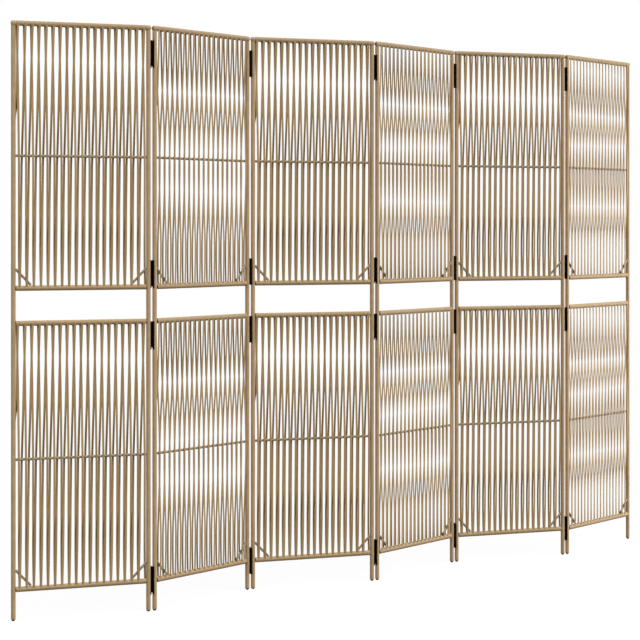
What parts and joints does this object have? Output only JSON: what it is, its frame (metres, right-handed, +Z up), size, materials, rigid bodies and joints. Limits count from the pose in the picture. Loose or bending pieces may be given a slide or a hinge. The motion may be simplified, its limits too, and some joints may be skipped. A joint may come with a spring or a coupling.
{
  "type": "folding screen",
  "caption": "Folding room screen: tall tube-framed panels wound with upright strands, hinged edge to edge so that it stands in a zigzag and folds up like a concertina.",
  "frame": {"origin": "middle of the overall box at floor level, in the zigzag that the picture shows", "axes": "+X along the screen to the viewer's right, +Y away from the viewer, +Z up"},
  "size_m": [2.5244, 0.125, 1.8],
  "materials": {
    "frame_tube": "satin powder coat",
    "frame_rod": "satin powder coat",
    "strand": "flat synthetic rattan",
    "post_cap": "matte",
    "foot": "matte black",
    "hinge_leaf": "black",
    "hinge_pin": "bright"
  },
  "bodies": {
    "panel_1": {"panel_1_posts": "frame_tube", "panel_1_caps": "post_cap", "panel_1_feet": "foot", "panel_1_rods": "frame_rod", "panel_1_rail_wraps": "strand", "panel_1_upper_strands": "strand", "panel_1_lower_strands": "strand", "hinge_1_left_leaves": "hinge_leaf", "hinge_1_pins": "hinge_pin"},
    "panel_2": {"panel_2_posts": "frame_tube", "panel_2_caps": "post_cap", "panel_2_feet": "foot", "panel_2_rods": "frame_rod", "panel_2_rail_wraps": "strand", "panel_2_upper_strands": "strand", "panel_2_lower_strands": "strand", "hinge_1_right_leaves": "hinge_leaf", "hinge_2_left_leaves": "hinge_leaf", "hinge_2_pins": "hinge_pin"},
    "panel_3": {"panel_3_posts": "frame_tube", "panel_3_caps": "post_cap", "panel_3_feet": "foot", "panel_3_rods": "frame_rod", "panel_3_rail_wraps": "strand", "panel_3_upper_strands": "strand", "panel_3_lower_strands": "strand", "hinge_2_right_leaves": "hinge_leaf", "hinge_3_left_leaves": "hinge_leaf", "hinge_3_pins": "hinge_pin"},
    "panel_4": {"panel_4_posts": "frame_tube", "panel_4_caps": "post_cap", "panel_4_feet": "foot", "panel_4_rods": "frame_rod", "panel_4_rail_wraps": "strand", "panel_4_upper_strands": "strand", "panel_4_lower_strands": "strand", "hinge_3_right_leaves": "hinge_leaf", "hinge_4_left_leaves": "hinge_leaf", "hinge_4_pins": "hinge_pin"},
    "panel_5": {"panel_5_posts": "frame_tube", "panel_5_caps": "post_cap", "panel_5_feet": "foot", "panel_5_rods": "frame_rod", "panel_5_rail_wraps": "strand", "panel_5_upper_strands": "strand", "panel_5_lower_strands": "strand", "hinge_4_right_leaves": "hinge_leaf", "hinge_5_left_leaves": "hinge_leaf", "hinge_5_pins": "hinge_pin"},
    "panel_6": {"panel_6_posts": "frame_tube", "panel_6_caps": "post_cap", "panel_6_feet": "foot", "panel_6_rods": "frame_rod", "panel_6_rail_wraps": "strand", "panel_6_upper_strands": "strand", "panel_6_lower_strands": "strand", "hinge_5_right_leaves": "hinge_leaf"}
  },
  "joints": [
    {"name": "hinge_1_turn", "type": "hinge", "parent": "panel_2", "child": "panel_1", "pos_m": [-0.84299, -0.04715, 0.9], "axis": [0, 0, -1], "range_deg": [-30, 150]},
    {"name": "hinge_2_turn", "type": "hinge", "parent": "panel_3", "child": "panel_2", "pos_m": [-0.42149, 0.04715, 0.9], "axis": [0, 0, 1], "range_deg": [-30, 150]},
    {"name": "hinge_3_turn", "type": "hinge", "parent": "panel_3", "child": "panel_4", "pos_m": [0, -0.04715, 0.9], "axis": [0, 0, 1], "range_deg": [-30, 150]},
    {"name": "hinge_4_turn", "type": "hinge", "parent": "panel_4", "child": "panel_5", "pos_m": [0.42149, 0.04715, 0.9], "axis": [0, 0, -1], "range_deg": [-30, 150]},
    {"name": "hinge_5_turn", "type": "hinge", "parent": "panel_5", "child": "panel_6", "pos_m": [0.84299, -0.04715, 0.9], "axis": [0, 0, 1], "range_deg": [-30, 150]}
  ]
}
